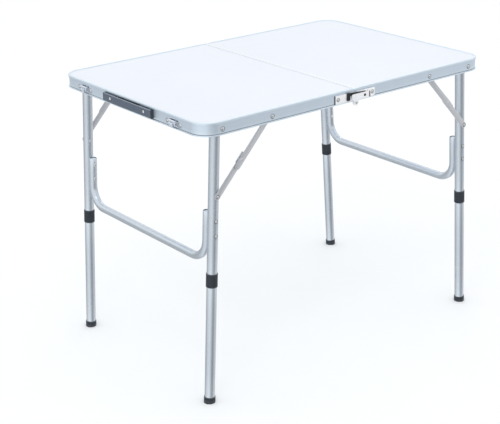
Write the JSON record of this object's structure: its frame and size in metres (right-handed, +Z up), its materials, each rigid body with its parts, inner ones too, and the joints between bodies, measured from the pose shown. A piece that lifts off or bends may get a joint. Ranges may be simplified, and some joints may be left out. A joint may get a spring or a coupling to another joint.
{
  "type": "folding table",
  "caption": "Suitcase folding table with a white two-half top in an aluminium rail, folding tubular leg frames, plug-in lower legs, jointed braces, lock hooks, a carry handle and draw latches.",
  "frame": {"origin": "on the floor, under the crossing of the fold line and the table centre line", "axes": "+X along the length towards the half that carries the lock hooks, +Y towards the back edge, +Z up"},
  "size_m": [0.9116, 0.6118, 0.7],
  "materials": {
    "rail_aluminium": "satin, fine drawing lines along the extrusion",
    "tube_aluminium": "satin anodised tube",
    "link_aluminium": "satin flat bar",
    "white_laminate": "white laminate on thin fibreboard",
    "zinc_steel": "bright zinc plate",
    "dark_steel": "blackened",
    "slate_plastic": "satin moulded",
    "black_plastic": "matt moulded"
  },
  "bodies": {
    "left_half": {"left_rail": "rail_aluminium", "left_panel": "white_laminate", "left_fold_strip": "rail_aluminium", "left_hinge_plates": "zinc_steel", "left_plate_rivets": "zinc_steel", "left_leg_pivots": "zinc_steel", "left_brace_pivots": "zinc_steel", "fold_pins": "zinc_steel", "carry_handle": "slate_plastic", "handle_rivets": "zinc_steel", "latch_bases": "zinc_steel", "latch_pins": "zinc_steel", "latch_rivets": "zinc_steel"},
    "right_half": {"right_rail": "rail_aluminium", "right_panel": "white_laminate", "right_fold_strip": "rail_aluminium", "right_hinge_plates": "zinc_steel", "right_plate_rivets": "zinc_steel", "right_leg_pivots": "zinc_steel", "right_brace_pivots": "zinc_steel", "latch_keepers": "zinc_steel", "keeper_rivets": "zinc_steel", "hook_pivots": "zinc_steel"},
    "front_hook": {"front_lock_hook": "dark_steel"},
    "back_hook": {"back_lock_hook": "dark_steel"},
    "front_lever": {"front_latch_lever": "zinc_steel"},
    "back_lever": {"back_latch_lever": "zinc_steel"},
    "front_claw": {"front_latch_claw": "zinc_steel"},
    "back_claw": {"back_latch_claw": "zinc_steel"},
    "left_leg_frame": {"left_legs": "tube_aluminium", "left_cross_bar": "tube_aluminium", "left_collars": "black_plastic", "left_bar_rivets": "zinc_steel", "left_bar_plugs": "black_plastic", "left_brace_rivets": "zinc_steel"},
    "right_leg_frame": {"right_legs": "tube_aluminium", "right_cross_bar": "tube_aluminium", "right_collars": "black_plastic", "right_bar_rivets": "zinc_steel", "right_bar_plugs": "black_plastic", "right_brace_rivets": "zinc_steel"},
    "left_front_extension": {"left_front_lower_leg": "tube_aluminium", "left_front_foot": "black_plastic"},
    "left_front_upper_brace": {"left_front_upper_link": "link_aluminium"},
    "left_front_lower_brace": {"left_front_lower_link": "link_aluminium"},
    "left_back_extension": {"left_back_lower_leg": "tube_aluminium", "left_back_foot": "black_plastic"},
    "left_back_upper_brace": {"left_back_upper_link": "link_aluminium"},
    "left_back_lower_brace": {"left_back_lower_link": "link_aluminium"},
    "right_front_extension": {"right_front_lower_leg": "tube_aluminium", "right_front_foot": "black_plastic"},
    "right_front_upper_brace": {"right_front_upper_link": "link_aluminium"},
    "right_front_lower_brace": {"right_front_lower_link": "link_aluminium"},
    "right_back_extension": {"right_back_lower_leg": "tube_aluminium", "right_back_foot": "black_plastic"},
    "right_back_upper_brace": {"right_back_upper_link": "link_aluminium"},
    "right_back_lower_brace": {"right_back_lower_link": "link_aluminium"}
  },
  "joints": [
    {"name": "half_fold", "type": "hinge", "parent": "left_half", "child": "right_half", "pos_m": [0, 0, 0.6655], "axis": [0, 1, 0], "range_deg": [0, 60]},
    {"name": "left_leg_fold", "type": "hinge", "parent": "left_half", "child": "left_leg_frame", "pos_m": [-0.3945, 0, 0.6815], "axis": [0, -1, 0], "range_deg": [0, 93.2]},
    {"name": "right_leg_fold", "type": "hinge", "parent": "right_half", "child": "right_leg_frame", "pos_m": [0.3945, 0, 0.6815], "axis": [0, 1, 0], "range_deg": [0, 93.2]},
    {"name": "left_front_extension_pull", "type": "slide", "parent": "left_leg_frame", "child": "left_front_extension", "axis": [-0.0576, 0, -0.9983], "range_m": [0, 0.15]},
    {"name": "left_back_extension_pull", "type": "slide", "parent": "left_leg_frame", "child": "left_back_extension", "axis": [-0.0576, 0, -0.9983], "range_m": [0, 0.15]},
    {"name": "right_front_extension_pull", "type": "slide", "parent": "right_leg_frame", "child": "right_front_extension", "axis": [0.0576, 0, -0.9983], "range_m": [0, 0.15]},
    {"name": "right_back_extension_pull", "type": "slide", "parent": "right_leg_frame", "child": "right_back_extension", "axis": [0.0576, 0, -0.9983], "range_m": [0, 0.15]},
    {"name": "front_hook_lift", "type": "hinge", "parent": "right_half", "child": "front_hook", "pos_m": [0.027, -0.3013, 0.6795], "axis": [0, 1, 0], "range_deg": [0, 35]},
    {"name": "back_hook_lift", "type": "hinge", "parent": "right_half", "child": "back_hook", "pos_m": [0.027, 0.3013, 0.6795], "axis": [0, 1, 0], "range_deg": [0, 35]},
    {"name": "front_latch_open", "type": "hinge", "parent": "left_half", "child": "front_lever", "pos_m": [-0.4526, -0.188, 0.6865], "axis": [0, 1, 0], "range_deg": [0, 120]},
    {"name": "front_claw_swing", "type": "hinge", "parent": "front_lever", "child": "front_claw", "pos_m": [-0.4568, -0.188, 0.6815], "axis": [0, 1, 0], "range_deg": [-10, 90]},
    {"name": "back_latch_open", "type": "hinge", "parent": "left_half", "child": "back_lever", "pos_m": [-0.4526, 0.188, 0.6865], "axis": [0, 1, 0], "range_deg": [0, 120]},
    {"name": "back_claw_swing", "type": "hinge", "parent": "back_lever", "child": "back_claw", "pos_m": [-0.4568, 0.188, 0.6815], "axis": [0, 1, 0], "range_deg": [-10, 90]},
    {"name": "left_front_upper_link_turn", "type": "hinge", "parent": "left_half", "child": "left_front_upper_brace", "pos_m": [-0.253, -0.2858, 0.6815], "axis": [0, -1, 0], "range_deg": [0, 132.25]},
    {"name": "left_front_lower_link_turn", "type": "hinge", "parent": "left_leg_frame", "child": "left_front_lower_brace", "pos_m": [-0.40381, -0.2833, 0.51997], "axis": [0, 1, 0], "range_deg": [0, 140.97]},
    {"name": "left_back_upper_link_turn", "type": "hinge", "parent": "left_half", "child": "left_back_upper_brace", "pos_m": [-0.253, 0.2858, 0.6815], "axis": [0, -1, 0], "range_deg": [0, 132.25]},
    {"name": "left_back_lower_link_turn", "type": "hinge", "parent": "left_leg_frame", "child": "left_back_lower_brace", "pos_m": [-0.40381, 0.2833, 0.51997], "axis": [0, 1, 0], "range_deg": [0, 140.97]},
    {"name": "right_front_upper_link_turn", "type": "hinge", "parent": "right_half", "child": "right_front_upper_brace", "pos_m": [0.253, -0.2858, 0.6815], "axis": [0, 1, 0], "range_deg": [0, 132.25]},
    {"name": "right_front_lower_link_turn", "type": "hinge", "parent": "right_leg_frame", "child": "right_front_lower_brace", "pos_m": [0.40381, -0.2833, 0.51997], "axis": [0, -1, 0], "range_deg": [0, 140.97]},
    {"name": "right_back_upper_link_turn", "type": "hinge", "parent": "right_half", "child": "right_back_upper_brace", "pos_m": [0.253, 0.2858, 0.6815], "axis": [0, 1, 0], "range_deg": [0, 132.25]},
    {"name": "right_back_lower_link_turn", "type": "hinge", "parent": "right_leg_frame", "child": "right_back_lower_brace", "pos_m": [0.40381, 0.2833, 0.51997], "axis": [0, -1, 0], "range_deg": [0, 140.97]}
  ],
  "couplings": [
    {"joint": "left_front_upper_link_turn", "follows": "left_leg_fold", "ratio": 1.4189},
    {"joint": "left_front_lower_link_turn", "follows": "left_leg_fold", "ratio": 1.5125},
    {"joint": "left_back_upper_link_turn", "follows": "left_leg_fold", "ratio": 1.4189},
    {"joint": "left_back_lower_link_turn", "follows": "left_leg_fold", "ratio": 1.5125},
    {"joint": "right_front_upper_link_turn", "follows": "right_leg_fold", "ratio": 1.4189},
    {"joint": "right_front_lower_link_turn", "follows": "right_leg_fold", "ratio": 1.5125},
    {"joint": "right_back_upper_link_turn", "follows": "right_leg_fold", "ratio": 1.4189},
    {"joint": "right_back_lower_link_turn", "follows": "right_leg_fold", "ratio": 1.5125}
  ]
}
